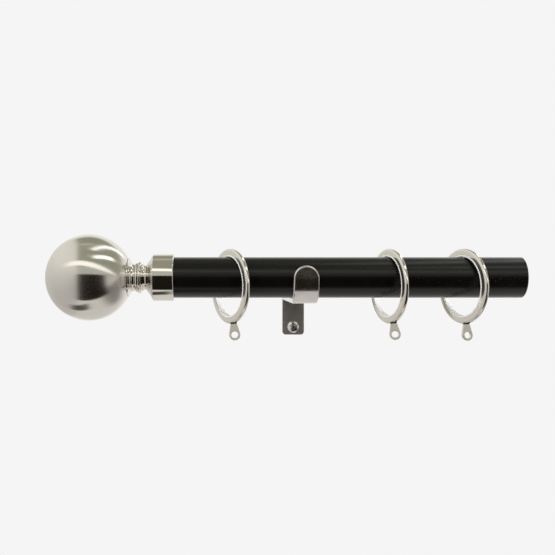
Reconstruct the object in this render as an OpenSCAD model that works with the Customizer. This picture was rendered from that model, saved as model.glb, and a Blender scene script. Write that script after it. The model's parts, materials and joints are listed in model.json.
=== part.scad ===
// Left-hand end of a metal curtain pole: wall bracket with an open cup, a black tube,
// a ball finial and three lined rings with swivel eyelets.
// The origin is the middle of the wall plate's back face. +X runs along the pole away from
// the finial, +Y goes into the wall and +Z is up.

/* [Pole] */
// Outside diameter of the pole tube
pole_d = 28; // [26:0.5:29]
// Wall thickness of the pole tube
pole_wall = 1.2; // [0.8:0.1:2]
// Distance from the bracket's middle to the open end of the tube
pole_reach = 149.5; // [149:0.1:400]
// Distance from the bracket's middle to the tube's end inside the finial
pole_start = 98; // [96:0.1:98]

/* [Bracket] */
// Distance from the wall to the pole's axis
projection = 88; // [70:1:120]
// Height of the pole's axis above the middle of the wall plate
axis_height = 16; // [16:0.5:20]
// Width of the strip that makes the arm and cup
strip_w = 17.5; // [16:0.5:20]
// Thickness of the strip
strip_t = 3.5; // [2.5:0.1:4]
// Height of the cup's front lip above the pole's axis
lip_h = 8; // [6:0.5:12]
// Height of the wall plate
plate_h = 60; // [56:1:80]
// Thickness of the wall plate
plate_t = 3; // [2.5:0.1:4]
// Corner radius of the wall plate
plate_corner = 2.8; // [1:0.1:6]
// Distance between the two wall screws
screw_spacing = 47.5; // [44:0.5:50]

/* [Wall fixings] */
// Shank diameter of a wall screw
screw_d = 4.8; // [4:0.1:5]
// Head diameter of a wall screw
screw_head_d = 9.5; // [8:0.5:11]
// Length of a wall screw under its head
screw_len = 45; // [40:1:60]
// Outside diameter of a wall plug
plug_d = 8; // [7:0.5:10]
// Length of a wall plug
plug_len = 40; // [30:1:40]
// How far a wall plug's mouth lies behind the wall's face
plug_setback = 2.5; // [2.1:0.1:5]

/* [Finial] */
// Diameter of the ball
ball_d = 60; // [56:0.5:64]
// Distance from the bracket's middle to the ball's centre
ball_at = 147.9; // [147:0.1:149]
// Wall thickness of the ball
ball_wall = 1; // [0.8:0.1:1.5]
// Outside diameter of the collar
collar_d = 32.7; // [32:0.1:36]
// Length of the collar
collar_len = 14.6; // [12:0.1:16]
// Diameter of the neck's sharp flange
flange_d = 27.2; // [26:0.1:28]
// Diameter of the neck's bead
bead_d = 22.2; // [20:0.1:24]
// Diameter of the stud
stud_d = 6; // [5:0.5:6]

/* [Rings] */
// Outside diameter of a ring
ring_d = 52; // [50:0.5:54]
// Inside diameter of a ring's liner
liner_d = 40.8; // [40:0.1:42]
// Width of a ring along the pole
ring_w = 3.5; // [3.2:0.1:5]
// Places of the three rings along the pole
ring_x = [-51.1, 58.5, 109.7];
// Turn of each ring about the vertical
ring_yaw = [28.2, 15.7, 20];
// Swing of each eyelet towards the room, round its ring
eyelet_swing = [11.5, 15, 7.5];
// Turn of each eyelet's flat face away from the room
eyelet_yaw = [0, -4, 12];

/* [Eyelets] */
// Thickness of an eyelet
eyelet_t = 1.8; // [1.4:0.1:2.4]
// Diameter of an eyelet's hook hole
hook_d = 4.5; // [3.5:0.1:5]
// Width across an eyelet's lower lobe
lobe_d = 7.7; // [7.2:0.1:9]
// Width of an eyelet's flat top
eyelet_top_w = 4.4; // [4:0.1:5.5]
// Height of an eyelet's flat top above its hook hole's centre
eyelet_top_h = 7.6; // [7.2:0.1:7.6]
// Distance from a ring's centre to its hook hole
hook_drop = 33.7; // [33:0.1:36]
// Diameter of an eyelet's stem
stem_d = 1.6; // [1.4:0.1:1.8]
// Diameter of the washer between an eyelet and its ring
washer_d = 4.6; // [4:0.1:4.6]
// Thickness of that washer
washer_t = 0.8; // [0.5:0.1:0.8]

/* [Hidden] */
$fn = 96;

nickel = [0.78, 0.77, 0.73];
satin_nickel = [0.70, 0.69, 0.65];
zinc = [0.62, 0.62, 0.60];
black_oxide = [0.12, 0.12, 0.12];
satin_black = [0.05, 0.05, 0.05];
white_nylon = [0.93, 0.93, 0.90];
grey_nylon = [0.55, 0.56, 0.58];
black_nylon = [0.07, 0.07, 0.07];

fit_gap = 0.05;      // radial gap of a turning or threaded piece in its hole
rest_gap = 0.3;      // gap between pieces that only rest on each other
cut_past = 1;        // how far a cutting tool runs past a surface

pole_r = pole_d / 2;
cup_inner_r = pole_r + 0.5;
cup_outer_r = cup_inner_r + strip_t;
tenon_w = strip_w - 7;
tenon_len = 2;

cup_grub_d = 4;
cup_grub_socket = 2;
collar_grub_d = 3;
collar_grub_socket = 1.5;
collar_grub_x = -94;

head_h = 3;
head_dome_r = 8;
recess_w = 1.3;
recess_len = 5;
recess_depth = 2;
tip_len = 6;
plug_slot_w = 0.8;

collar_left = -104;
collar_right = collar_left + collar_len;
collar_wall_end = -102;
collar_chamfer = 0.5;
bead_x = -113.1;
nut_width = 10;
nut_t = 3;
stud_past_nut = 0.7;
boss_r = 5;
boss_flange_r = 9;
boss_len = 13;
boss_tip = ball_d / 2 - ball_wall - 0.6;
boss_flange_t = 1.2;
boss_flange_at = boss_tip - 0.9 - boss_flange_t;

liner_t = 1.2;
liner_proud = 0.1;
liner_edge_r = 0.4;
ring_body_r = liner_d / 2 + liner_t;
ring_edge_r = 1.5;
ring_drop = pole_r + 0.35 - liner_d / 2;
washer_seat_d = 5.4;
washer_seat_depth = 1;
head_seat_d = 2.6;
head_seat_depth = 1.6;
head_t = 0.8;
head_d = 2.2;

// Everything drawn about the pole's axis is moved there by this module.
module on_pole() {
    translate([0, -projection, axis_height]) children();
}

// Turns a piece drawn along +Z so that it lies along +X.
module along_x() {
    rotate([0, 90, 0]) children();
}

// Turns a piece drawn along +Z so that it lies along +Y, into the wall.
module into_wall() {
    rotate([-90, 0, 0]) children();
}

// ---- bracket ----

module rounded_plate(w, h, t, r) {
    linear_extrude(t) {
        square([w - 2 * r, h], center = true);
        square([w, h - 2 * r], center = true);
        for (sx = [-1, 1], sy = [-1, 1])
            translate([sx * (w / 2 - r), sy * (h / 2 - r)]) circle(r);
    }
}

module wall_plate() {
    color(satin_nickel) difference() {
        translate([0, -plate_t, 0]) into_wall()
            rounded_plate(strip_w, plate_h, plate_t, plate_corner);
        for (s = [-1, 1])
            translate([0, -plate_t - cut_past, s * screw_spacing / 2]) into_wall()
                cylinder(d = screw_d + 0.6, h = plate_t + 2 * cut_past);
        arm_tenon(fit_gap);
    }
}

// The tongue at the arm's end that sits in the wall plate's pocket.
module arm_tenon(gap) {
    tongue_top = axis_height - cup_inner_r;
    translate([-tenon_w / 2 - gap, -plate_t - cut_past, tongue_top - strip_t - gap])
        cube([tenon_w + 2 * gap, tenon_len + cut_past + gap, strip_t + 2 * gap]);
}

// Side view of the strip: front lip, half-round cup and straight arm.
module strip_side() {
    arm_len = projection - plate_t;
    intersection() {
        difference() {
            circle(cup_outer_r);
            circle(cup_inner_r);
        }
        translate([-cup_outer_r, -cup_outer_r]) square([cup_outer_r, cup_outer_r]);
    }
    translate([-cup_outer_r, 0]) square([strip_t, lip_h]);
    translate([0, -cup_outer_r]) square([arm_len, strip_t]);
}

// Front view of the strip, with its semicircular top.
module strip_front() {
    round_r = strip_w / 2;
    translate([0, lip_h - round_r]) circle(round_r);
    translate([-round_r, -2 * cup_outer_r]) square([strip_w, 2 * cup_outer_r + lip_h - round_r]);
}

module cup_arm() {
    color(satin_nickel) {
        on_pole() difference() {
            intersection() {
                translate([-strip_w / 2, 0, 0]) rotate([90, 0, 90])
                    linear_extrude(strip_w) strip_side();
                translate([0, projection, 0]) rotate([90, 0, 0])
                    linear_extrude(projection + 2 * cup_outer_r) strip_front();
            }
            translate([0, 0, -cup_outer_r - cut_past])
                cylinder(d = cup_grub_d, h = strip_t + 2 * cut_past);
        }
        arm_tenon(0);
    }
}

module grub_screw(d, len, socket) {
    difference() {
        cylinder(d = d - 2 * fit_gap, h = len);
        translate([0, 0, -cut_past])
            cylinder(d = socket / cos(30), h = cut_past + len * 0.6, $fn = 6);
    }
}

module cup_grub_screw() {
    flush = 0.1;
    color(black_oxide) on_pole() translate([0, 0, -cup_outer_r + flush])
        grub_screw(cup_grub_d, strip_t, cup_grub_socket);
}

// ---- wall fixings ----

module pan_head() {
    intersection() {
        cylinder(d = screw_head_d, h = head_h);
        translate([0, 0, head_h - head_dome_r]) sphere(head_dome_r);
    }
}

// A screw along +Z, head first: the head's underside is at height 0.
module wall_screw() {
    shank_len = screw_len - tip_len;
    difference() {
        union() {
            mirror([0, 0, 1]) pan_head();
            cylinder(d = screw_d, h = shank_len);
            translate([0, 0, shank_len]) cylinder(d1 = screw_d, d2 = 1, h = tip_len);
        }
        for (turn = [0, 90])
            rotate([0, 0, turn]) translate([-recess_w / 2, -recess_len / 2, -head_h - cut_past])
                cube([recess_w, recess_len, recess_depth + cut_past]);
    }
}

module wall_plug() {
    difference() {
        cylinder(d = plug_d, h = plug_len);
        translate([0, 0, -cut_past])
            cylinder(d = screw_d + 2 * fit_gap, h = plug_len + 2 * cut_past);
        for (turn = [0, 90])
            rotate([0, 0, turn]) translate([-plug_slot_w / 2, -plug_d, plug_len / 3])
                cube([plug_slot_w, 2 * plug_d, plug_len]);
    }
}

module placed_screw(side) {
    color(nickel) translate([0, -plate_t, side * screw_spacing / 2]) into_wall() wall_screw();
}

module placed_plug(side) {
    color(grey_nylon) translate([0, plug_setback, side * screw_spacing / 2]) into_wall()
        wall_plug();
}

// ---- pole ----

module pole_tube() {
    color(satin_black) on_pole() translate([-pole_start, 0, 0]) along_x() difference() {
        cylinder(r = pole_r, h = pole_start + pole_reach);
        translate([0, 0, -cut_past])
            cylinder(r = pole_r - pole_wall, h = pole_start + pole_reach + 2 * cut_past);
    }
}

// ---- finial ----

// A turned shape about the pole's axis: each point is [place along the pole, radius].
module turned(points) {
    along_x() rotate_extrude() polygon([for (p = points) [p[1], p[0]]]);
}

module finial_collar() {
    r = collar_d / 2;
    c = collar_chamfer;
    bore = pole_r + 0.08;
    stud_hole = stud_d / 2 + fit_gap;
    color(nickel) on_pole() difference() {
        turned([
            [collar_left, stud_hole], [collar_left, r - c], [collar_left + c, r],
            [collar_right - c, r], [collar_right, r - c], [collar_right, bore],
            [collar_wall_end, bore], [collar_wall_end, stud_hole]
        ]);
        translate([collar_grub_x, 0, -r - cut_past])
            cylinder(d = collar_grub_d, h = r - bore + 2 * cut_past);
    }
}

module finial_neck() {
    flange_r = flange_d / 2;
    bead_r = bead_d / 2;
    stud_hole = stud_d / 2 + fit_gap;
    seat_gap = 0.02;
    bead_bump = 2.6;
    color(nickel) on_pole() difference() {
        union() {
            turned([
                [-121.6, stud_hole], [-121.6, flange_r], [-120.5, flange_r], [-119.9, 12.3],
                [-119.1, 10.8], [-118.2, 9.6], [-117.2, 9.35], [-116.2, 9.5], [-115.4, 10.1],
                [-114.5, 10.4], [-114.5, 9.6], [-111.6, 9.6], [-110.4, 8.9], [-109.5, 8.5],
                [-108.9, 8.7], [-106.4, 12], [collar_left, 15.6], [collar_left, stud_hole]
            ]);
            translate([bead_x, 0, 0]) along_x()
                rotate_extrude() translate([bead_r - bead_bump / 2, 0]) circle(d = bead_bump);
        }
        translate([-ball_at, 0, 0]) sphere(ball_d / 2 + seat_gap);
    }
}

// Half section of the hollow ball: closed at its outer end, open for the stud at the other.
module ball_section() {
    r = ball_d / 2;
    hole = stud_d / 2 + fit_gap;
    intersection() {
        difference() {
            circle(r);
            circle(r - ball_wall);
        }
        union() {
            translate([0, -r]) square([r, r]);
            translate([hole, 0]) square([r, r]);
        }
    }
}

module ball_shell() {
    color(satin_nickel) on_pole() translate([-ball_at, 0, 0]) along_x()
        rotate_extrude() ball_section();
}

module ball_boss() {
    bore = stud_d / 2 + 0.02;
    color(zinc) on_pole() translate([-ball_at, 0, 0]) turned([
        [boss_tip - boss_len, bore], [boss_tip - boss_len, boss_r],
        [boss_flange_at, boss_r], [boss_flange_at, boss_flange_r],
        [boss_flange_at + boss_flange_t, boss_flange_r], [boss_flange_at + boss_flange_t, boss_r],
        [boss_tip, boss_r], [boss_tip, bore]
    ]);
}

module finial_stud() {
    stud_left = -ball_at + ball_d / 2 - boss_len;
    stud_right = collar_wall_end + nut_t + stud_past_nut;
    color(zinc) on_pole() translate([stud_left, 0, 0]) along_x()
        cylinder(d = stud_d, h = stud_right - stud_left);
}

module stud_nut() {
    color(zinc) on_pole() translate([collar_wall_end, 0, 0]) along_x() difference() {
        cylinder(d = nut_width / cos(30), h = nut_t, $fn = 6);
        translate([0, 0, -cut_past])
            cylinder(r = stud_d / 2 + 0.02, h = nut_t + 2 * cut_past);
    }
}

module finial_grub_screw() {
    outer = collar_d / 2 - 0.1;
    color(black_oxide) on_pole() translate([collar_grub_x, 0, -outer])
        grub_screw(collar_grub_d, outer - pole_r - rest_gap, collar_grub_socket);
}

// ---- rings ----

// Puts a piece drawn about a ring's own centre, with the ring's axis along X, on ring i.
module on_ring(i) {
    on_pole() translate([ring_x[i], 0, ring_drop]) rotate([0, 0, ring_yaw[i]]) children();
}

// Puts a piece drawn downwards from a ring's centre at the place where eyelet i hangs.
module on_eyelet(i) {
    on_ring(i) rotate([-eyelet_swing[i], 0, 0])
        rotate([0, 0, eyelet_yaw[i] - ring_yaw[i]]) children();
}

// Cross-section of a ring: square inside, rounded outside.
module ring_section() {
    outer = ring_d / 2;
    e = ring_edge_r;
    translate([ring_body_r, -ring_w / 2]) square([outer - e - ring_body_r, ring_w]);
    translate([ring_body_r, -ring_w / 2 + e]) square([outer - ring_body_r, ring_w - 2 * e]);
    for (s = [-1, 1])
        translate([outer - e, s * (ring_w / 2 - e)]) circle(e);
}

module ring_body(i) {
    color(nickel) on_ring(i) difference() {
        along_x() rotate_extrude() ring_section();
        rotate([-eyelet_swing[i], 0, 0]) {
            translate([0, 0, -ring_d / 2 - cut_past])
                cylinder(d = stem_d + 2 * fit_gap, h = ring_d / 2 - ring_body_r + 2 * cut_past);
            translate([0, 0, -ring_d / 2 - cut_past])
                cylinder(d = washer_seat_d, h = washer_seat_depth + cut_past);
            translate([0, 0, -ring_body_r - head_seat_depth])
                cylinder(d = head_seat_d, h = head_seat_depth + cut_past);
        }
    }
}

module ring_liner(i) {
    w = ring_w + 2 * liner_proud;
    e = liner_edge_r;
    color(white_nylon) on_ring(i) along_x() rotate_extrude() {
        translate([ring_body_r - liner_t + e, -w / 2]) square([liner_t - e - 0.01, w]);
        translate([ring_body_r - liner_t, -w / 2 + e]) square([liner_t - 0.01, w - 2 * e]);
        for (s = [-1, 1])
            translate([ring_body_r - liner_t + e, s * (w / 2 - e)]) circle(e);
    }
}

// Outline of an eyelet, drawn with the hook hole's centre at the origin: a round lobe whose
// sides run straight up to a narrower flat top.
module eyelet_outline() {
    lobe_r = lobe_d / 2;
    top = [eyelet_top_w / 2, eyelet_top_h];
    leaves_at = atan2(top[1], top[0]) - acos(lobe_r / norm(top));
    circle(lobe_r);
    polygon([
        [lobe_r * cos(leaves_at), lobe_r * sin(leaves_at)], top,
        [-top[0], top[1]], [-lobe_r * cos(leaves_at), lobe_r * sin(leaves_at)]
    ]);
}

module eyelet(i) {
    stem_top = -ring_body_r - head_seat_depth + fit_gap;
    color(nickel) on_eyelet(i) {
        difference() {
            translate([0, eyelet_t / 2, -hook_drop]) rotate([90, 0, 0])
                linear_extrude(eyelet_t) eyelet_outline();
            translate([0, -eyelet_t, -hook_drop]) into_wall()
                cylinder(d = hook_d, h = 2 * eyelet_t);
        }
        translate([0, 0, -hook_drop + lobe_d / 2 + 1])
            cylinder(d = stem_d, h = hook_drop - lobe_d / 2 - 1 + stem_top);
    }
}

module eyelet_washer(i) {
    color(black_nylon) on_eyelet(i) translate([0, 0, eyelet_top_h - hook_drop]) difference() {
        cylinder(d = washer_d, h = washer_t);
        translate([0, 0, -cut_past])
            cylinder(d = stem_d + 2 * fit_gap, h = washer_t + 2 * cut_past);
    }
}

module eyelet_head(i) {
    seat = -ring_body_r - head_seat_depth + fit_gap;
    color(nickel) on_eyelet(i) translate([0, 0, seat]) cylinder(d = head_d, h = head_t);
}

wall_plate();
cup_arm();
placed_screw(-1);  // wall_screw_lower
placed_screw(1);  // wall_screw_upper
placed_plug(-1);  // wall_plug_lower
placed_plug(1);  // wall_plug_upper
cup_grub_screw();
pole_tube();
finial_collar();
finial_neck();
ball_shell();
ball_boss();
finial_stud();
stud_nut();
finial_grub_screw();
ring_body(0);  // ring_1
ring_body(1);  // ring_2
ring_body(2);  // ring_3
ring_liner(0);  // ring_liner_1
ring_liner(1);  // ring_liner_2
ring_liner(2);  // ring_liner_3
eyelet(0);  // eyelet_1
eyelet(1);  // eyelet_2
eyelet(2);  // eyelet_3
eyelet_washer(0);  // eyelet_washer_1
eyelet_washer(1);  // eyelet_washer_2
eyelet_washer(2);  // eyelet_washer_3
eyelet_head(0);  // eyelet_head_1
eyelet_head(1);  // eyelet_head_2
eyelet_head(2);  // eyelet_head_3
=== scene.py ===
"""Looks for the left-hand end of a curtain pole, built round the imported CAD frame.

All lengths are metres in the frame's own axes: +X along the pole away from the finial,
+Y into the wall and +Z up.
"""

import json
import math

import bmesh
import bpy
from mathutils import Matrix, Vector


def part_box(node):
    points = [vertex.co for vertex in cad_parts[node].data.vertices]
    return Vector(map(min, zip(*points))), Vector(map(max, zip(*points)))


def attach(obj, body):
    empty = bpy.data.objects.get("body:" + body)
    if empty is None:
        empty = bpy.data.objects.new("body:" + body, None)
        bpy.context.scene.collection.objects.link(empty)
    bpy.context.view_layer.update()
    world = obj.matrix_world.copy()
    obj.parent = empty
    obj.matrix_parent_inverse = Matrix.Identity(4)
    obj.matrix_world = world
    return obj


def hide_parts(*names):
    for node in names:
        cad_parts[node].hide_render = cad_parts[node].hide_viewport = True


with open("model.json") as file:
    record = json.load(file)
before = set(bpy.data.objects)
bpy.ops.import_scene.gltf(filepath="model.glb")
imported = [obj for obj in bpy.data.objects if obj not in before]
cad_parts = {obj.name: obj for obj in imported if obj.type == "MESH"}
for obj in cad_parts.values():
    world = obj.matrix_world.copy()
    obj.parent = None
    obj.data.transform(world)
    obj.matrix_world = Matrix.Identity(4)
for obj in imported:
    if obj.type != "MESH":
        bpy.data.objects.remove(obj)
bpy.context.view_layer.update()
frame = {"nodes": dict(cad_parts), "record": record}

MM = 0.001
FIT_GAP = 0.05 * MM
CUP_CLEARANCE = 0.5 * MM
STRIP_EDGE = 1.2 * MM

# ---------------------------------------------------------------- places read from the frame


def centre_of(node):
    low, high = (Vector(corner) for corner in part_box(node))
    return (low + high) / 2


def size_of(node):
    low, high = (Vector(corner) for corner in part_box(node))
    return high - low


JOINTS = {joint["name"]: joint for joint in frame["record"]["behaviour"]["joints"]}
MOUNTS = {mount["name"]: mount for mount in frame["record"]["mounts"]}

POLE_LOW, POLE_HIGH = (Vector(corner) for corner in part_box("pole_tube"))
POLE_CENTRE = (POLE_LOW + POLE_HIGH) / 2
POLE_RADIUS = size_of("pole_tube").z / 2
POLE_BORE = MOUNTS["pole_open_end"]["dims"]["r_mm"] * MM
AXIS_Y = POLE_CENTRE.y
AXIS_Z = POLE_CENTRE.z

BALL_RADIUS = size_of("ball_shell").z / 2
BALL_CENTRE = Vector((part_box("ball_shell")[0][0] + BALL_RADIUS, AXIS_Y, AXIS_Z))
STUD_RADIUS = size_of("finial_stud").z / 2
STUD_HOLE = STUD_RADIUS + FIT_GAP

STRIP_WIDTH = size_of("cup_arm").x
PLATE_THICKNESS = size_of("wall_plate").y
CUP_OUTER = AXIS_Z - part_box("cup_arm")[0][2]
CUP_INNER = POLE_RADIUS + CUP_CLEARANCE
STRIP_THICKNESS = CUP_OUTER - CUP_INNER
LIP_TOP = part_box("cup_arm")[1][2] - AXIS_Z

# ---------------------------------------------------------------- sizes of the rings and eyelets

RING_COUNT = 3
RING_INNER = 21.6 * MM
RING_HALF = 1.75 * MM
RING_CORNER = 1.5 * MM
RING_SHOULDER = 2.1 * MM
LINER_INNER = 20.4 * MM
LINER_PROUD = 0.1 * MM
EYELET_LOBE = 3.85 * MM
EYELET_TOP_WIDTH = 4.4 * MM
EYELET_TOP = 7.6 * MM
STEM_RADIUS = 0.8 * MM
HEAD_SEAT_RADIUS = 1.3 * MM
HEAD_SEAT_END = 23.2 * MM
# The washer under each ring is coloured near-black as painted shade, for the shadow and dark reflection
# in the gap between ring and eyelet.
WASHER_SEAT_RADIUS = 2.7 * MM
WASHER_SEAT_START = 25.0 * MM
WASHER_RADIUS = 2.3 * MM
WASHER_THICKNESS = 0.8 * MM

# ---------------------------------------------------------------- camera and light levels

LENS = 48.5
LENS_SHIFT = 0.091
CAMERA_X = -53.2 * MM
CAMERA_DISTANCE = 516 * MM

# The tones that the metal mirrors, as red, green and blue. make_light puts them in place.
BACKGROUND = 0.913
CEILING = (0.36, 0.355, 0.28)
OVERHEAD = (0.58, 0.57, 0.48)
BACKDROP = (1.02, 1.01, 0.98)
FLOOR = (0.80, 0.77, 0.74)
LEFT_HIGH = (0.96, 0.93, 0.88)
LEFT_LOW = (0.62, 0.59, 0.57)
RIGHT_SIDE = (0.68, 0.66, 0.62)
RIGHT_LOW = (0.30, 0.28, 0.26)
SHELF = (0.56, 0.55, 0.51)
ROOM = (0.013, 0.010, 0.007)
GAP = (0.07, 0.065, 0.055)
SOFTBOX = (1.45, 1.41, 1.32)
STRIP_LIGHT = (1.9, 1.95, 1.9)
FILL_SIZE = 0.30
FILL_RIGHT = 6.5
FILL_LEFT = 2.2

# ---------------------------------------------------------------- mesh helpers


def new_object(name, verts, faces):
    mesh = bpy.data.meshes.new(name)
    mesh.from_pydata([tuple(v) for v in verts], [], faces)
    mesh.update()
    obj = bpy.data.objects.new(name, mesh)
    bpy.context.collection.objects.link(obj)
    outward_normals(obj)
    return obj


def outward_normals(obj):
    mesh = bmesh.new()
    mesh.from_mesh(obj.data)
    bmesh.ops.recalc_face_normals(mesh, faces=mesh.faces)
    mesh.to_mesh(obj.data)
    mesh.free()


def rounded(points, steps=5, closed=False):
    """A profile whose corners are rounded. Each point is (along, radius, rounding), in metres."""
    out = []
    count = len(points)
    for i, (along, radius, rounding) in enumerate(points):
        here = Vector((along, radius))
        if rounding <= 0 or (not closed and i in (0, count - 1)):
            out.append(here)
            continue
        before = Vector(points[i - 1][:2])
        after = Vector(points[(i + 1) % count][:2])
        back = min(rounding, (before - here).length * 0.49)
        forward = min(rounding, (after - here).length * 0.49)
        start = here + (before - here).normalized() * back
        end = here + (after - here).normalized() * forward
        for k in range(steps + 1):
            t = k / steps
            out.append(start * (1 - t) ** 2 + here * 2 * t * (1 - t) + end * t * t)
    return out


def arc(along, radius, size, start, end, steps):
    """Points on a circle of that size about (along, radius). Angles in degrees from +along."""
    out = []
    for k in range(steps + 1):
        angle = math.radians(start + (end - start) * k / steps)
        out.append(Vector((along + size * math.cos(angle), radius + size * math.sin(angle))))
    return out


def lathe(name, profile, around=144, closed=True, centre=(0, 0, 0)):
    """Turns a profile of (along, radius) about the X axis through centre."""
    centre = Vector(centre)
    verts = []
    loops = []
    for along, radius in profile:
        if radius < 1e-7:
            loops.append([len(verts)] * around)
            verts.append(centre + Vector((along, 0, 0)))
            continue
        loops.append(list(range(len(verts), len(verts) + around)))
        for k in range(around):
            angle = 2 * math.pi * k / around
            spoke = Vector((along, radius * math.cos(angle), radius * math.sin(angle)))
            verts.append(centre + spoke)
    faces = []
    last = len(loops) if closed else len(loops) - 1
    for i in range(last):
        here, there = loops[i], loops[(i + 1) % len(loops)]
        for k in range(around):
            n = (k + 1) % around
            corners = []
            for index in (here[k], here[n], there[n], there[k]):
                if index not in corners:
                    corners.append(index)
            if len(corners) > 2:
                faces.append(corners)
    return new_object(name, verts, faces)


def weld(obj, distance=0.00001):
    """Joins points that lie on each other, and turns the faces outwards again."""
    mesh = bmesh.new()
    mesh.from_mesh(obj.data)
    bmesh.ops.remove_doubles(mesh, verts=mesh.verts, dist=distance)
    bmesh.ops.dissolve_degenerate(mesh, edges=mesh.edges, dist=distance / 10)
    bmesh.ops.recalc_face_normals(mesh, faces=mesh.faces)
    mesh.to_mesh(obj.data)
    mesh.free()


def baked(obj):
    """Applies obj's modifiers to its mesh."""
    graph = bpy.context.evaluated_depsgraph_get()
    mesh = bpy.data.meshes.new_from_object(obj.evaluated_get(graph))
    obj.modifiers.clear()
    obj.data = mesh
    return obj


def carve(obj, cutters, operation="DIFFERENCE"):
    """Cuts the cutters out of obj, or joins them to it, and deletes them."""
    for cutter in cutters:
        tool = obj.modifiers.new("cut", "BOOLEAN")
        tool.operation = operation
        tool.solver = "EXACT"
        tool.object = cutter
    bpy.context.view_layer.update()
    baked(obj)
    for cutter in cutters:
        bpy.data.objects.remove(cutter, do_unlink=True)
    return obj


def bevelled(obj, width, segments=4, angle=40):
    tool = obj.modifiers.new("bevel", "BEVEL")
    tool.width = width
    tool.segments = segments
    tool.limit_method = "ANGLE"
    tool.angle_limit = math.radians(angle)
    tool.miter_outer = "MITER_ARC"
    bpy.context.view_layer.update()
    return baked(obj)


def smooth(obj, angle=35, weighted=False):
    obj.data.polygons.foreach_set("use_smooth", [True] * len(obj.data.polygons))
    obj.data.set_sharp_from_angle(angle=math.radians(angle))
    if weighted:
        tool = obj.modifiers.new("normals", "WEIGHTED_NORMAL")
        tool.keep_sharp = True
        tool.weight = 100
    return obj


def placed(obj, matrix):
    """Moves a piece that was made about its own origin to its place in the frame."""
    obj.matrix_world = matrix
    return obj


def prism(name, outline, depth, holes=()):
    """A flat plate from y = 0 to depth. outline is a list of (x, z), holes of (x, z, radius)."""
    count = len(outline)
    verts = [(x, y, z) for y in (0, depth) for x, z in outline]
    faces = [list(range(count)), list(range(count, 2 * count))]
    for k in range(count):
        n = (k + 1) % count
        faces.append([k, n, count + n, count + k])
    plate = new_object(name, verts, faces)
    for x, z, radius in holes:
        drill = cylinder("drill", (x, -depth, z), (0, 1, 0), radius, 3 * depth)
        carve(plate, [drill])
    return plate


def turned_cutter(name, start, direction, profile, around=64):
    """A cutter turned from a profile of (along, radius), from start along direction.

    It is turned a little about its own axis, so that no edge lies in the plane of what it cuts.
    """
    rod = lathe(name, profile, around=around, closed=False)
    rod.data.transform(Matrix.Rotation(math.pi / around / 2, 4, "X"))
    turn = Vector((1, 0, 0)).rotation_difference(Vector(direction)).to_matrix().to_4x4()
    rod.data.transform(Matrix.Translation(Vector(start)) @ turn)
    return rod


def cylinder(name, start, direction, radius, length, around=64):
    """A plain cutting cylinder from start along direction."""
    profile = [(0, 0), (0, radius), (length, radius), (length, 0)]
    return turned_cutter(name, start, direction, profile, around)


def rounded_rectangle(width, height, corner, steps=10):
    points = []
    for cx, cz, start in ((1, 1, 0), (-1, 1, 90), (-1, -1, 180), (1, -1, 270)):
        for k in range(steps + 1):
            angle = math.radians(start + 90 * k / steps)
            points.append((
                cx * (width / 2 - corner) + corner * math.cos(angle),
                cz * (height / 2 - corner) + corner * math.sin(angle),
            ))
    return points


# ---------------------------------------------------------------- materials


class Nodes:
    """A short way to write a material's node tree."""

    def __init__(self, name):
        self.material = bpy.data.materials.new(name)
        self.material.use_nodes = True
        self.tree = self.material.node_tree
        self.shader = self.tree.nodes["Principled BSDF"]

    def add(self, kind, settings=None, **inputs):
        node = self.tree.nodes.new(kind)
        for key, value in (settings or {}).items():
            setattr(node, key, value)
        for key, value in inputs.items():
            self.feed(node.inputs[key.replace("_", " ")], value)
        return node

    def feed(self, socket, value):
        if isinstance(value, bpy.types.NodeSocket):
            self.tree.links.new(value, socket)
        else:
            socket.default_value = value

    def set(self, **inputs):
        for key, value in inputs.items():
            self.feed(self.shader.inputs[key.replace("_", " ")], value)

    def place(self, scale=(1, 1, 1)):
        """Object coordinates, stretched."""
        where = self.add("ShaderNodeTexCoord").outputs["Object"]
        return self.add("ShaderNodeMapping", Vector=where, Scale=scale).outputs["Vector"]

    def noise(self, scale, stretch=(1, 1, 1), detail=3.0):
        node = self.add("ShaderNodeTexNoise", Vector=self.place(stretch), Scale=scale, Detail=detail)
        return node.outputs["Fac"]

    def spread(self, value, low, high):
        """Stretches a noise, which mostly lies between 0.3 and 0.7, over low to high."""
        node = self.add("ShaderNodeMapRange", Value=value)
        node.inputs["From Min"].default_value = 0.3
        node.inputs["From Max"].default_value = 0.7
        node.inputs["To Min"].default_value = low
        node.inputs["To Max"].default_value = high
        return node.outputs["Result"]

    def blend(self, value, first, second):
        node = self.add("ShaderNodeMix", {"data_type": "RGBA"})
        self.feed(node.inputs["Factor"], value)
        self.feed(node.inputs["A"], first)
        self.feed(node.inputs["B"], second)
        return node.outputs[2]

    def bump(self, height, depth, strength=1.0, under=None):
        node = self.add("ShaderNodeBump", Height=height, Strength=strength, Distance=depth)
        if under is not None:
            self.feed(node.inputs["Normal"], under)
        return node.outputs["Normal"]


def colour(red, green, blue):
    return (red, green, blue, 1.0)


def polished_nickel():
    """Bright nickel plate: a mirror with faint turning marks, pale wear and slight haze."""
    n = Nodes("polished_nickel")
    cloud = n.noise(60, detail=4)
    marks = n.noise(1, stretch=(9000, 150, 150), detail=2)
    specks = n.noise(2500, detail=1)
    n.set(
        Base_Color=n.blend(n.spread(cloud, 0, 1), colour(0.70, 0.68, 0.625), colour(0.75, 0.73, 0.68)),
        Metallic=1.0,
        Roughness=n.spread(n.noise(180, detail=5), 0.05, 0.12),
        Normal=n.bump(marks, 0.000002, 0.3, under=n.bump(specks, 0.000001, 0.2)),
    )
    return n.material


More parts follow.
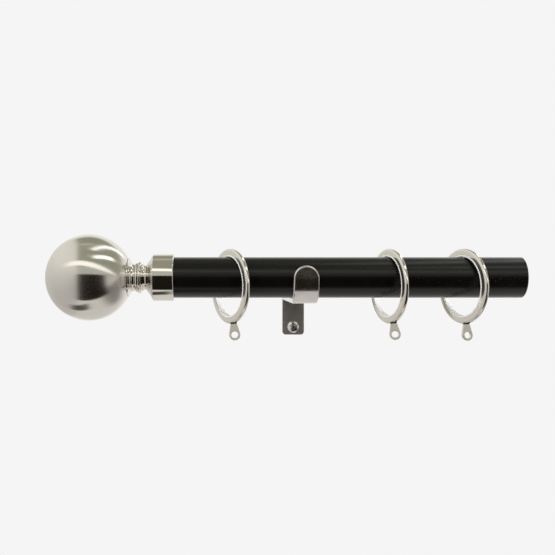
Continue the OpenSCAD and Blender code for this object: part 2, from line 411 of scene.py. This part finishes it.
def brushed_ball():
    """Fine brushing round the pole's axis, which draws reflections out towards the neck."""
    n = Nodes("brushed_ball")
    where = n.add("ShaderNodeTexCoord").outputs["Object"]
    parts = n.add("ShaderNodeSeparateXYZ", Vector=where)
    around = n.add("ShaderNodeMath", {"operation": "ARCTAN2"})
    n.feed(around.inputs[0], parts.outputs["Z"])
    n.feed(around.inputs[1], parts.outputs["Y"])
    along = n.add("ShaderNodeMath", {"operation": "MULTIPLY"})
    n.feed(along.inputs[0], parts.outputs["X"])
    along.inputs[1].default_value = 6000
    grain_at = n.add("ShaderNodeCombineXYZ", X=along.outputs[0], Y=around.outputs[0])
    grain = n.add(
        "ShaderNodeTexNoise", Vector=grain_at.outputs[0], Scale=1.0, Detail=3.0, Roughness=0.6
    ).outputs["Fac"]
    tangent = n.add("ShaderNodeTangent", {"direction_type": "RADIAL", "axis": "X"})
    cloud = n.noise(45, detail=3)
    n.set(
        Base_Color=n.blend(n.spread(cloud, 0, 1), colour(0.66, 0.645, 0.60), colour(0.71, 0.695, 0.65)),
        Metallic=1.0,
        Roughness=n.spread(grain, 0.15, 0.19),
        Anisotropic=0.95,
        Anisotropic_Rotation=0.25,
        Tangent=tangent.outputs["Tangent"],
        Normal=n.bump(grain, 0.000005, 0.12),
    )
    return n.material


def satin_nickel(name, gloss_low, gloss_high, tone):
    """Satin nickel plate on the bracket: fine lengthwise grain, a little haze and dull patches."""
    n = Nodes(name)
    grain = n.noise(1, stretch=(5000, 500, 500), detail=3)
    cloud = n.noise(110, detail=4)
    dark, light = (colour(tone * k, tone * k * 0.965, tone * k * 0.93) for k in (0.95, 1.05))
    n.set(
        Base_Color=n.blend(n.spread(cloud, 0, 1), dark, light),
        Metallic=1.0,
        Roughness=n.spread(n.noise(260, detail=5), gloss_low, gloss_high),
        Normal=n.bump(grain, 0.000004, 0.2, under=n.bump(n.noise(1200), 0.000006, 0.15)),
    )
    return n.material


def black_lacquer():
    """Satin black lacquer on the tube, with a faint orange-peel surface."""
    n = Nodes("black_lacquer")
    peel = n.noise(900, detail=2)
    fine = n.noise(6000, detail=2)
    cloud = n.noise(40, detail=3)
    n.set(
        Base_Color=n.blend(
            n.spread(cloud, 0, 1), colour(0.0010, 0.0009, 0.0007), colour(0.0018, 0.0016, 0.0014)
        ),
        Roughness=n.spread(n.noise(120, detail=4), 0.25, 0.29),
        IOR=1.40,
        Normal=n.bump(peel, 0.00002, 0.2, under=n.bump(fine, 0.000004, 0.2)),
    )
    return n.material


def nylon(name, dark, light, gloss):
    n = Nodes(name)
    cloud = n.noise(300, detail=3)
    n.set(
        Base_Color=n.blend(n.spread(cloud, 0, 1), dark, light),
        Roughness=n.spread(n.noise(700, detail=3), gloss, gloss + 0.12),
        Normal=n.bump(n.noise(1500, detail=2), 0.000004, 0.1),
    )
    return n.material


def plated_steel(name, dark, light, low, high):
    n = Nodes(name)
    cloud = n.noise(400, detail=4)
    n.set(
        Base_Color=n.blend(n.spread(cloud, 0, 1), dark, light),
        Metallic=1.0,
        Roughness=n.spread(n.noise(900, detail=4), low, high),
        Normal=n.bump(n.noise(2200, detail=3), 0.00001, 0.35),
    )
    return n.material


def flat_light(name, level):
    """A stage surface of one even brightness."""
    material = bpy.data.materials.new(name)
    material.use_nodes = True
    tree = material.node_tree
    tree.nodes.clear()
    glow = tree.nodes.new("ShaderNodeEmission")
    glow.inputs["Color"].default_value = (level, level, level, 1)
    out = tree.nodes.new("ShaderNodeOutputMaterial")
    tree.links.new(glow.outputs[0], out.inputs["Surface"])
    return material


POLISHED = polished_nickel()
BRUSHED = brushed_ball()
SATIN = satin_nickel("satin_nickel", 0.17, 0.23, 0.62)
SATIN_ROUGH = satin_nickel("satin_nickel_matt", 0.40, 0.48, 0.66)
LACQUER = black_lacquer()
WHITE_NYLON = nylon("white_nylon", colour(0.92, 0.92, 0.90), colour(0.95, 0.95, 0.94), 0.40)
# Painted shade: this near-black colour on the washer under each ring stands in for the shadow and dark
# reflection in the gap between ring and eyelet.
SHADE_BLACK_NYLON = nylon("black_nylon", colour(0.010, 0.010, 0.010), colour(0.020, 0.020, 0.020), 0.40)
GREY_NYLON = nylon("grey_nylon", colour(0.30, 0.31, 0.33), colour(0.40, 0.41, 0.43), 0.45)
BRIGHT_ZINC = plated_steel("bright_zinc", colour(0.72, 0.72, 0.70), colour(0.82, 0.82, 0.80), 0.20, 0.30)
DULL_ZINC = plated_steel("dull_zinc", colour(0.42, 0.41, 0.38), colour(0.56, 0.55, 0.52), 0.35, 0.5)
BLACK_OXIDE = plated_steel("black_oxide", colour(0.03, 0.03, 0.03), colour(0.06, 0.06, 0.06), 0.3, 0.45)


def dress(obj, material, slot, body, *nodes):
    """Finishes a new piece: its material, the body it rides on and the nodes it stands for. The slot
    argument is not used.
    """
    obj.data.materials.clear()
    obj.data.materials.append(material)
    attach(obj, body)
    if nodes:
        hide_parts(*nodes)


def repaint(node, material):
    obj = frame["nodes"][node]
    obj.data.materials.clear()
    obj.data.materials.append(material)


# ---------------------------------------------------------------- pole and finial


def make_pole():
    edge = 0.25 * MM
    left, right = POLE_LOW.x, POLE_HIGH.x
    profile = rounded([
        (left, POLE_BORE, edge), (left, POLE_RADIUS, edge),
        (right, POLE_RADIUS, edge), (right, POLE_BORE, edge),
    ], closed=True)
    tube = lathe("pole_tube_skin", profile, around=192, centre=(0, AXIS_Y, AXIS_Z))
    smooth(tube)
    dress(tube, LACQUER, "black_lacquer", "pole", "pole_tube")


def make_ball():
    wall = 1.0 * MM
    hole = STUD_HOLE
    inner = BALL_RADIUS - wall
    outer_end = math.degrees(math.asin(hole / BALL_RADIUS))
    inner_end = math.degrees(math.asin(hole / inner))
    profile = arc(0, 0, BALL_RADIUS, 180, outer_end, 96) + arc(0, 0, inner, inner_end, 180, 48)
    for point in profile:
        point.y = max(point.y, 0)
    ball = lathe("finial_ball", profile, around=192, closed=False)
    smooth(ball, angle=60)
    placed(ball, Matrix.Translation(BALL_CENTRE))
    dress(ball, BRUSHED, "brushed_nickel", "finial", "ball_shell")


def turned_part(points, largest):
    """Part of the neck's profile, no wider than the largest radius."""
    return rounded([(-back * MM, min(r * MM, largest), soft * MM) for back, r, soft in points], steps=4)


def make_neck():
    """Sharp flange, groove, bead, groove and flared cone, turned from one bar."""
    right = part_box("finial_neck")[1][0]
    cone_r = size_of("finial_neck").z / 2
    seat = BALL_RADIUS + 0.02 * MM
    flange_r = 13.6 * MM
    bead_r = 11.1 * MM
    seat_start = math.degrees(math.asin(STUD_HOLE / seat))
    seat_end = math.degrees(math.asin(flange_r / seat))
    ball_from_right = right - BALL_CENTRE.x
    profile = [p - Vector((ball_from_right, 0)) for p in arc(0, 0, seat, seat_start, seat_end, 12)]
    # Each point is (distance left of the collar, radius, rounding), in millimetres.
    shank = [
        (16.5, 13.6, 0.1), (16.25, 13.3, 0.1), (16.1, 12.5, 0.15), (15.4, 11.3, 0.5),
        (14.5, 9.9, 0.7), (13.3, 9.3, 0.6), (12.3, 9.4, 0.3), (11.75, 10.2, 0.25),
        (10.8, 10.4, 0.15), (10.5, 9.75, 0.05),
    ]
    cone = [
        (7.7, 9.6, 0.05), (7.1, 9.55, 0.2), (6.2, 8.8, 0.5), (5.4, 8.5, 0.4), (4.8, 8.75, 0.3),
        (3.6, 10.4, 0.6), (1.6, 13.3, 0.5), (0.35, 15.5, 0.25), (0.0, 15.6, 0.0),
    ]
    profile += turned_part(shank, cone_r)
    bead_centre, bead_radius = 9.1 * MM, 1.3 * MM
    profile += arc(-bead_centre, bead_r - bead_radius, bead_radius, 165, 15, 14)
    profile += turned_part(cone, cone_r)
    profile.append(Vector((0, STUD_HOLE)))
    neck = lathe("finial_neck_turned", profile, around=160)
    smooth(neck, angle=50)
    placed(neck, Matrix.Translation((right, AXIS_Y, AXIS_Z)))
    dress(neck, POLISHED, "bright_nickel", "finial", "finial_neck")


def make_collar():
    low, high = (Vector(corner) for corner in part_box("finial_collar"))
    radius = (high.z - low.z) / 2
    bore = POLE_RADIUS + 0.08 * MM
    wall_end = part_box("stud_nut")[0][0]
    edge = 0.5 * MM
    profile = rounded([
        (low.x, STUD_HOLE, 0), (low.x, radius - edge, 0.12 * MM), (low.x + edge, radius, 0.2 * MM),
        (high.x - edge, radius, 0.2 * MM), (high.x, radius - edge, 0.12 * MM),
        (high.x, bore, 0.15 * MM), (wall_end, bore, 0), (wall_end, STUD_HOLE, 0),
    ], steps=4, closed=True)
    collar = lathe("finial_collar_turned", profile, around=192, centre=(0, AXIS_Y, AXIS_Z))
    grub = centre_of("finial_grub_screw")
    grub_r = size_of("finial_grub_screw").x / 2 + FIT_GAP
    hole = cylinder("hole", (grub.x, AXIS_Y, low.z - MM), (0, 0, 1), grub_r, 5 * MM, around=48)
    carve(collar, [hole])
    smooth(collar, angle=30)
    dress(collar, POLISHED, "bright_nickel", "finial", "finial_collar")


def make_grub(name, node, body, radius_of_socket):
    """A headless screw seen from below: chamfered end, hexagon socket and cup point."""
    low, high = (Vector(corner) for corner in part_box(node))
    centre = (low + high) / 2
    radius = (high.x - low.x) / 2
    length = high.z - low.z
    edge = radius * 0.16
    profile = rounded([
        (0, 0, 0), (0, radius - edge, 0.05 * MM), (edge, radius, 0.05 * MM),
        (length - edge, radius, 0.05 * MM), (length, radius - edge, 0.05 * MM),
        (length, radius * 0.5, 0.05 * MM), (length - edge, 0, 0),
    ], steps=2)
    screw = lathe(name, profile, around=60, closed=False)
    socket = cylinder("socket", (-MM, 0, 0), (1, 0, 0), radius_of_socket, MM + length * 0.6, around=6)
    carve(screw, [socket])
    smooth(screw, angle=30)
    up = Vector((1, 0, 0)).rotation_difference(Vector((0, 0, 1))).to_matrix().to_4x4()
    placed(screw, Matrix.Translation((centre.x, centre.y, low.z)) @ up)
    dress(screw, BLACK_OXIDE, "black_oxide", body, node)


# ---------------------------------------------------------------- bracket


def edge_section(half_width, half_thickness, radius, steps=6):
    """Right-hand half of the strip's cross-section, as (across, outward), its edges rounded."""
    points = [(0, half_thickness)]
    for centre, start in ((half_thickness - radius, 90), (radius - half_thickness, 0)):
        for k in range(steps + 1):
            angle = math.radians(start - 90 * k / steps)
            points.append((
                half_width - radius + radius * math.cos(angle),
                centre + radius * math.sin(angle),
            ))
    return points + [(0, -half_thickness)]


def strip_stations(lip_centre):
    """The strip's middle line from the side, as (y, z, outward y, outward z) from the pole's axis.

    It runs along the arm from the wall plate, round the cup and up to the lip's own centre.
    """
    middle = (CUP_OUTER + CUP_INNER) / 2
    arm_end = -AXIS_Y - PLATE_THICKNESS
    stations = [(arm_end * (1 - k / 12), -middle, 0, -1) for k in range(12)]
    cup_steps = 40
    for k in range(cup_steps):
        angle = math.radians(90 * k / cup_steps)
        y, z = -math.sin(angle), -math.cos(angle)
        if z * middle < lip_centre:
            stations.append((y * middle, z * middle, y, z))
    return stations + [(-middle, lip_centre, -1, 0)]


def make_cup_arm():
    """A flat strip with rounded edges, bent into a cup, with a half-round top to its lip."""
    half = STRIP_WIDTH / 2
    section = edge_section(half, STRIP_THICKNESS / 2, STRIP_EDGE)
    ring = section + [(-across, out) for across, out in section[-2:0:-1]]
    lip_centre = LIP_TOP - half
    stations = strip_stations(lip_centre)
    verts = []
    faces = []
    for y, z, out_y, out_z in stations:
        for across, out in ring:
            verts.append((across, AXIS_Y + y + out_y * out, AXIS_Z + z + out_z * out))
    count = len(ring)
    for i in range(len(stations) - 1):
        for k in range(count):
            n = (k + 1) % count
            faces.append([i * count + k, i * count + n, (i + 1) * count + n, (i + 1) * count + k])
    faces.append(list(range(count)))
    top_start = len(verts)
    top_steps = 48
    middle = (CUP_OUTER + CUP_INNER) / 2
    for i in range(top_steps + 1):
        angle = math.pi * i / top_steps
        for across, out in section:
            verts.append((
                across * math.cos(angle), AXIS_Y - middle - out,
                AXIS_Z + lip_centre + across * math.sin(angle),
            ))
    width = len(section)
    for i in range(top_steps):
        for k in range(width - 1):
            a = top_start + i * width + k
            faces.append([a, a + 1, a + width + 1, a + width])
    strip = new_object("cup_arm_strip", verts, faces)
    weld(strip)
    grub_r = size_of("cup_grub_screw").x / 2 + FIT_GAP
    hole = cylinder("hole", (0, AXIS_Y, AXIS_Z - CUP_OUTER - MM), (0, 0, 1), grub_r, 6 * MM, around=48)
    carve(strip, [hole])
    smooth(strip, angle=40, weighted=True)
    dress(strip, SATIN, "satin_nickel", "bracket", "cup_arm")


def make_wall_plate():
    size = size_of("wall_plate")
    corner = 2.8 * MM
    hole_r = 2.7 * MM
    spacing = centre_of("wall_screw_upper").z - centre_of("wall_screw_lower").z
    outline = rounded_rectangle(size.x, size.z, corner)
    holes = [(0, side * spacing / 2, hole_r) for side in (-1, 1)]
    plate = prism("wall_plate_pressed", outline, PLATE_THICKNESS, holes)
    bevelled(plate, 0.45 * MM, segments=4, angle=50)
    placed(plate, Matrix.Translation((0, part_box("wall_plate")[0][1], 0)))
    smooth(plate, angle=40, weighted=True)
    dress(plate, SATIN_ROUGH, "satin_nickel", "bracket", "wall_plate")


def cross_cutter(front):
    """A cross-recess driver's tip along +X, its mouth at x = front."""
    wing_half = 0.55 * MM
    mouth = 2.2 * MM
    tip = 0.8 * MM
    depth = 1.7 * MM
    over = 1.5 * MM
    cutters = []
    for turn, bottom in ((0, depth), (90, depth * 0.96)):
        verts = []
        for x, reach in ((-over, mouth), (0, mouth), (bottom, tip)):
            for sy, sz in ((-1, -1), (1, -1), (1, 1), (-1, 1)):
                taper = 1 if x < bottom else 0.7
                verts.append((x, sy * reach, sz * wing_half * taper))
        faces = [[0, 1, 2, 3], [8, 9, 10, 11]]
        for level in (0, 4):
            for k in range(4):
                n = (k + 1) % 4
                faces.append([level + k, level + n, level + 4 + n, level + 4 + k])
        wing = new_object("wing", verts, faces)
        wing.data.transform(Matrix.Rotation(math.radians(turn), 4, "X"))
        cutters.append(wing)
    for cutter in cutters:
        cutter.data.transform(Matrix.Translation((front, 0, 0)))
    return carve(cutters[0], cutters[1:], operation="UNION")


def make_wall_screw(node, driver_turn):
    """A pan-head screw along +Y: domed head with a cross recess, plain neck, coarse thread."""
    low, high = (Vector(corner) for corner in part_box(node))
    centre = (low + high) / 2
    head_r = (high.x - low.x) / 2
    shank_r = 2.4 * MM
    head_h = 2.9 * MM
    plate_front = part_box("wall_plate")[0][1]
    length = high.y - plate_front
    dome = arc(0, 0, 1.0, 180, 90, 14)
    profile = [Vector((-head_h + head_h * 0.82 * (1 + p.x), head_r * p.y)) for p in dome]
    profile[0].y = 0
    profile += [Vector((-0.12 * MM, head_r)), Vector((0, head_r - 0.15 * MM)), Vector((0, shank_r))]
    profile += [Vector((PLATE_THICKNESS, shank_r)), Vector((PLATE_THICKNESS + 0.6 * MM, 1.7 * MM))]
    profile += [Vector((PLATE_THICKNESS + 0.6 * MM, 0))]
    head = lathe("head", profile, around=96, closed=False)
    carve(head, [cross_cutter(-head_h)])
    smooth(head, angle=32)
    thread = thread_mesh(PLATE_THICKNESS + 0.4 * MM, length, 1.7 * MM, shank_r, 1.8 * MM)
    smooth(thread, angle=30)
    turn = Matrix.Rotation(math.radians(90), 4, "Z") @ Matrix.Rotation(driver_turn, 4, "X")
    matrix = Matrix.Translation((centre.x, plate_front, centre.z)) @ turn
    side = "lower" if centre.z < 0 else "upper"
    placed(head, matrix)
    placed(thread, matrix)
    head.name = "wall_screw_head_" + side
    thread.name = "wall_screw_thread_" + side
    dress(head, BRIGHT_ZINC, "bright_zinc", "bracket", node)
    dress(thread, BRIGHT_ZINC, "bright_zinc", "bracket", node)


def thread_mesh(start, end, core, crest, pitch, around=36):
    """A solid wood-screw thread along +X that dies away at a pointed tip."""
    per_turn = 10
    rows = int((end - start) / pitch * per_turn)
    taper_from = end - 6 * MM
    verts = [(start, 0, 0)]
    for row in range(rows + 1):
        x = start + (end - start) * row / rows
        shrink = 1 if x < taper_from else max(1 - (x - taper_from) / (end - taper_from), 0.02)
        for k in range(around):
            angle = 2 * math.pi * k / around
            phase = (x / pitch - k / around) % 1
            ridge = max(1 - abs(phase - 0.5) * 5, 0)
            radius = (core + (crest - core) * ridge) * shrink
            verts.append((x, radius * math.cos(angle), radius * math.sin(angle)))
    verts.append((end, 0, 0))
    tip = len(verts) - 1
    faces = []
    for k in range(around):
        n = (k + 1) % around
        faces.append([0, 1 + n, 1 + k])
        for row in range(rows):
            a, b = 1 + row * around, 1 + (row + 1) * around
            faces.append([a + k, a + n, b + n, b + k])
        top = 1 + rows * around
        faces.append([top + k, top + n, tip])
    return new_object("thread", verts, faces)


def make_wall_plug(node):
    """A nylon plug: plain mouth, barbed body, split for most of its length."""
    low, high = (Vector(corner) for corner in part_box(node))
    centre = (low + high) / 2
    radius = (high.x - low.x) / 2
    length = high.y - low.y
    bore = 2.45 * MM
    root = radius - 0.55 * MM
    soft = 0.1 * MM
    points = [(0, bore, 0), (0, radius, 0.15 * MM), (6 * MM, radius, soft), (6.4 * MM, root, soft)]
    barbs = 8
    first, last = 9 * MM, length - 6 * MM
    step = (last - first) / barbs
    for k in range(barbs):
        x = first + k * step
        points += [(x, root, soft), (x + step * 0.7, radius, soft), (x + step * 0.75, root, soft)]
    points += [(last, root, 0.2 * MM), (length, bore + 0.5 * MM, 0.2 * MM), (length, bore, 0)]
    plug = lathe("plug", rounded(points, steps=2), around=72)
    slots = []
    for turn in (0, 90):
        slit = prism("slit", rounded_rectangle(0.8 * MM, 1, 0.1 * MM, steps=2), 1)
        slit.data.transform(Matrix.Diagonal((1, 1, 2.2 * radius, 1)))
        slit.data.transform(Matrix.Rotation(math.radians(-90), 4, "Z"))
        slit.data.transform(Matrix.Translation((length / 3, 0, 0)))
        slit.data.transform(Matrix.Rotation(math.radians(turn), 4, "X"))
        slots.append(slit)
    carve(plug, slots)
    smooth(plug, angle=30)
    plug.name = "wall_plug_barbed_" + ("lower" if centre.z < 0 else "upper")
    into_wall = Matrix.Rotation(math.radians(90), 4, "Z")
    placed(plug, Matrix.Translation((centre.x, low.y, centre.z)) @ into_wall)
    dress(plug, GREY_NYLON, "grey_nylon", "bracket", node)


# ---------------------------------------------------------------- rings


def ring_place(i):
    """The matrix that puts a ring drawn round X in its place on the pole."""
    joint = JOINTS["eyelet_turn_%d" % i]
    axis = Vector(joint["axis"])
    yaw = math.atan2(-axis.x, axis.y)
    return Matrix.Translation(joint["pos_m"]) @ Matrix.Rotation(yaw, 4, "Z")


def make_ring(i):
    """Polished body with rounded outer corners, notched for its eyelet and lined with nylon."""
    place = ring_place(i)
    outer = size_of("ring_%d" % i).z / 2
    inner = RING_INNER
    half = RING_HALF
    rim = arc(half - RING_CORNER, 0, RING_CORNER, 0, 90, 14)
    for point in rim:
        point.y = outer - RING_SHOULDER * (1 - point.y / RING_CORNER)
    right = [Vector((half - 0.15 * MM, inner)), Vector((half, inner + 0.15 * MM))] + rim
    left = [Vector((-p.x, p.y)) for p in reversed(right)]
    body = lathe("ring_body_%d" % i, right + left, around=192)
    down = -Vector(JOINTS["eyelet_turn_%d" % i]["axis"])
    centre = Vector(JOINTS["eyelet_turn_%d" % i]["pos_m"])
    stem_hole = STEM_RADIUS + FIT_GAP
    inside, outside = inner - 2 * MM, outer + 2 * MM
    steps = [
        (inside, 0), (inside, HEAD_SEAT_RADIUS), (HEAD_SEAT_END, HEAD_SEAT_RADIUS),
        (HEAD_SEAT_END, stem_hole), (WASHER_SEAT_START, stem_hole),
        (WASHER_SEAT_START, WASHER_SEAT_RADIUS), (outside, WASHER_SEAT_RADIUS), (outside, 0),
    ]
    drill = turned_cutter("drill", centre, down, steps, around=48)
    drill.data.transform(place.inverted())
    carve(body, [drill])
    smooth(body, angle=35)
    placed(body, place)
    dress(body, POLISHED, "bright_nickel", "ring_slider_%d" % i, "ring_%d" % i)

    wide = half + LINER_PROUD
    liner_out = inner - 0.01 * MM
    soft = 0.4 * MM
    section = [
        (-wide, liner_out, 0), (-wide, LINER_INNER, soft),
        (wide, LINER_INNER, soft), (wide, liner_out, 0),
    ]
    liner = lathe("ring_lining_%d" % i, rounded(section, steps=6, closed=True), around=160)
    smooth(liner, angle=45)
    placed(liner, place)
    dress(liner, WHITE_NYLON, "white_nylon", "ring_slider_%d" % i, "ring_liner_%d" % i)


def eyelet_outline(lobe, top_width, top_height, corner, steps=40):
    """Outline of a round lobe with straight sides up to a flat top, as (x, z) round the hook hole."""
    half = top_width / 2
    leaves = math.atan2(top_height, half) - math.acos(lobe / math.hypot(half, top_height))
    points = []
    for k in range(steps + 1):
        angle = math.pi - leaves + (math.pi + 2 * leaves) * k / steps
        points.append((lobe * math.cos(angle), lobe * math.sin(angle), 0))
    points += [(half, top_height, corner), (-half, top_height, corner)]
    return [tuple(p) for p in rounded(points, steps=5, closed=True)]


def make_eyelet(i):
    """A stamped eyelet with softened edges on its stem, and a black washer above it whose dark colour is
    painted shade: it stands in for the shadow and dark reflection in the gap under the ring.
    """
    mount = MOUNTS["eyelet_hook_%d" % i]
    joint = JOINTS["eyelet_turn_%d" % i]
    hole = Vector(mount["pos_m"])
    up = Vector(joint["axis"])
    back = -Vector(mount["axis"])
    thickness = mount["dims"]["length_mm"] * MM
    hook_r = mount["dims"]["r_mm"] * MM
    outline = eyelet_outline(EYELET_LOBE, EYELET_TOP_WIDTH, EYELET_TOP, 0.5 * MM)
    plate = prism("plate", outline, thickness, [(0, 0, hook_r)])
    bevelled(plate, 0.3 * MM, segments=3, angle=50)
    plate.data.transform(Matrix.Translation((0, -thickness / 2, 0)))
    stem_top = (hole - Vector(joint["pos_m"])).length - HEAD_SEAT_END
    stem_start = EYELET_TOP - MM
    stem = cylinder("stem", (0, 0, stem_start), (0, 0, 1), STEM_RADIUS, stem_top - stem_start, around=48)
    carve(plate, [stem], operation="UNION")
    across = back.cross(up)
    turn = Matrix((across, back, up)).transposed().to_4x4()
    placed(plate, Matrix.Translation(hole) @ turn)
    smooth(plate, angle=40, weighted=True)
    plate.name = "eyelet_stamped_%d" % i
    body = "eyelet_swivel_%d" % i
    dress(plate, POLISHED, "bright_nickel", body, "eyelet_%d" % i)

    # The washer's black colour is painted shade: it fills the gap under the ring with the darkness of
    # that gap's shadow and reflection.
    bore = STEM_RADIUS + FIT_GAP
    soft = 0.2 * MM
    section = [
        (0, bore, 0), (0, WASHER_RADIUS, soft),
        (WASHER_THICKNESS, WASHER_RADIUS, soft), (WASHER_THICKNESS, bore, 0),
    ]
    washer = lathe("eyelet_washer_round_%d" % i, rounded(section, steps=4, closed=True), around=64)
    smooth(washer, angle=40)
    lie = Vector((1, 0, 0)).rotation_difference(up).to_matrix().to_4x4()
    placed(washer, Matrix.Translation(hole + up * EYELET_TOP) @ lie)
    dress(washer, SHADE_BLACK_NYLON, "black_nylon", body, "eyelet_washer_%d" % i)


# ---------------------------------------------------------------- camera, light and stage


def make_camera():
    """Level with the pole, to the left of the bracket, with the lens shifted to frame the part."""
    data = bpy.data.cameras.new("camera")
    data.sensor_width = 36
    data.lens = LENS
    data.shift_x = LENS_SHIFT
    camera = bpy.data.objects.new("camera", data)
    bpy.context.collection.objects.link(camera)
    camera.location = (CAMERA_X, AXIS_Y - CAMERA_DISTANCE, AXIS_Z)
    camera.rotation_euler = (math.radians(90), 0, 0)
    bpy.context.scene.camera = camera


def make_stage():
    """A pale floor far below. Only the camera sees it, so it doesn't light the part."""
    reach = 30
    drop = 1.2
    corners = ((-1, -1), (1, -1), (1, 1), (-1, 1))
    verts = [(x * reach, y * reach, -drop) for x, y in corners]
    floor = new_object("floor", verts, [[0, 1, 2, 3]])
    floor.data.materials.append(flat_light("pale_floor", BACKGROUND))
    floor.visible_glossy = False
    floor.visible_diffuse = False
    floor.visible_shadow = False


class Sky:
    """Builds the studio that the metal reflects, as layers over a direction.

    turn is the angle about the pole, in degrees: 0 to the front, 90 overhead, 180 to the wall.
    x runs from -1 at the finial's end to 1 at the other.
    """

    def __init__(self, tree):
        self.tree = tree
        self.way = self.add("ShaderNodeTexCoord").outputs["Generated"]
        parts = self.add("ShaderNodeSeparateXYZ", self.way).outputs
        self.x, self.z = parts["X"], parts["Z"]
        front = self.math("MULTIPLY", parts["Y"], -1.0)
        self.turn = self.math("DEGREES", self.math("ARCTAN2", parts["Z"], front))
        self.level = None

    def add(self, kind, *values, operation=None):
        node = self.tree.nodes.new(kind)
        if operation:
            node.operation = operation
        for k, value in enumerate(values):
            if isinstance(value, bpy.types.NodeSocket):
                self.tree.links.new(value, node.inputs[k])
            else:
                node.inputs[k].default_value = value
        return node

    def math(self, operation, *values):
        return self.add("ShaderNodeMath", *values, operation=operation).outputs[0]

    def step(self, value, at, soft):
        """0 below at, 1 above it, with a soft change."""
        node = self.add("ShaderNodeMapRange", value, at - soft / 2, at + soft / 2)
        node.interpolation_type = "SMOOTHSTEP"
        return node.outputs["Result"]

    def window(self, value, low, high, soft):
        rise = self.step(value, low, soft)
        return self.math("SUBTRACT", rise, self.step(value, high, soft))

    def mix(self, mask, first, second):
        node = self.tree.nodes.new("ShaderNodeMix")
        node.data_type = "RGBA"
        for key, value in (("Factor", mask), ("A", first), ("B", second)):
            if isinstance(value, bpy.types.NodeSocket):
                self.tree.links.new(value, node.inputs[key])
            else:
                node.inputs[key].default_value = (*value, 1)
        return node.outputs[2]

    def lay(self, mask, level):
        """Puts a tone over what is there already, where mask is 1."""
        self.level = self.mix(mask, self.level or (0, 0, 0), level)

    def band(self, level, turn, width, x_low, x_high, slope=0.0, soft=4.0, end_soft=0.12):
        """A light or card that runs along the pole. Its turn changes by slope for each unit of x."""
        middle = self.math("SUBTRACT", self.turn, self.math("MULTIPLY", self.x, slope))
        across = self.window(middle, turn - width / 2, turn + width / 2, soft)
        along = self.window(self.x, x_low, x_high, end_soft)
        self.lay(self.math("MULTIPLY", across, along), level)

    def tube(self, level, first, last, width, soft=3.0):
        """A straight light between two directions, each given as (x, turn)."""
        ends = []
        for x, turn in (first, last):
            spoke, angle = math.sqrt(1 - x * x), math.radians(turn)
            ends.append(Vector((x, -spoke * math.cos(angle), spoke * math.sin(angle))))
        middle = (ends[0] + ends[1]).normalized()
        side = ends[0].cross(ends[1]).normalized()
        half, blur = (math.sin(math.radians(a)) for a in (width / 2, soft))
        across = self.window(self.dot(side), -half, half, blur)
        along = self.step(self.dot(middle), middle.dot(ends[0]), 0.06)
        self.lay(self.math("MULTIPLY", across, along), level)

    def dot(self, vector):
        node = self.add("ShaderNodeVectorMath", self.way, tuple(vector), operation="DOT_PRODUCT")
        return node.outputs["Value"]


def make_light():
    """A soft studio all round, with a dark room behind the camera."""
    world = bpy.data.worlds.new("studio")
    bpy.context.scene.world = world
    world.use_nodes = True
    tree = world.node_tree
    tree.nodes.clear()
    sky = Sky(tree)
    sky.lay(sky.step(sky.x, -3, 1), CEILING)
    sky.lay(sky.step(sky.turn, 134, 16), BACKDROP)
    sky.lay(sky.window(sky.turn, -200, -61, 3), FLOOR)
    sky.lay(sky.window(sky.turn, -200, -150, 20), BACKDROP)
    sky.band(OVERHEAD, 97, 9, -0.3, 0.05, soft=8)
    sky.band(SHELF, 18, 20, -2, 2)
    sky.band(RIGHT_SIDE, -20, 60, 0.78, 2, soft=12)
    sky.band(RIGHT_LOW, -85, 90, 0.55, 2, soft=30, end_soft=0.3)
    left_wall = sky.mix(sky.step(sky.z, 0.05, 1.3), LEFT_LOW, LEFT_HIGH)
    sky.lay(sky.window(sky.x, -2, -0.38, 0.06), left_wall)
    sky.band(ROOM, -27, 71, -0.36, 0.76, soft=3, end_soft=0.09)
    sky.band(GAP, -79, 21, -0.53, -0.01, slope=33, soft=6, end_soft=0.16)
    sky.band(SOFTBOX, 36, 13, -0.75, 1.02, slope=-9, end_soft=0.3)
    sky.tube(STRIP_LIGHT, (0.26, 56), (0.80, 91), 9)
    sky.tube(STRIP_LIGHT, (0.14, 78), (0.56, 148), 8)

    seen = sky.add("ShaderNodeLightPath").outputs["Is Camera Ray"]
    shade = tree.nodes.new("ShaderNodeBackground")
    tree.links.new(sky.mix(seen, sky.level, (BACKGROUND,) * 3), shade.inputs["Color"])
    out = tree.nodes.new("ShaderNodeOutputWorld")
    tree.links.new(shade.outputs[0], out.inputs["Surface"])
    make_fill("fill_right", (0.45, -0.60, -0.15), FILL_RIGHT)
    make_fill("fill_left", (-0.50, -0.60, 0.30), FILL_LEFT)


def make_fill(name, place, power):
    """A soft lamp that lights matt surfaces but isn't mirrored in the metal."""
    data = bpy.data.lights.new(name, "AREA")
    data.size = FILL_SIZE
    data.energy = power
    lamp = bpy.data.objects.new(name, data)
    bpy.context.collection.objects.link(lamp)
    lamp.location = place
    aim = Vector((0, AXIS_Y, AXIS_Z)) - Vector(place)
    lamp.rotation_euler = aim.to_track_quat("-Z", "Y").to_euler()
    lamp.visible_glossy = False
    lamp.visible_camera = False


def make_tone():
    scene = bpy.context.scene
    scene.view_settings.view_transform = "Standard"
    scene.view_settings.look = "None"


# ---------------------------------------------------------------- everything

make_camera()
make_stage()
make_light()
make_tone()

make_pole()
make_ball()
make_neck()
make_collar()
make_grub("finial_grub_slotless", "finial_grub_screw", "finial_lock", 0.87 * MM)
make_grub("cup_grub_slotless", "cup_grub_screw", "cup_lock", 1.15 * MM)
make_cup_arm()
make_wall_plate()
make_wall_screw("wall_screw_lower", math.radians(8))
make_wall_screw("wall_screw_upper", math.radians(31))
make_wall_plug("wall_plug_lower")
make_wall_plug("wall_plug_upper")
for number in range(1, RING_COUNT + 1):
    make_ring(number)
    make_eyelet(number)
    repaint("eyelet_head_%d" % number, POLISHED)
for hidden in ("ball_boss", "finial_stud", "stud_nut"):
    repaint(hidden, DULL_ZINC)
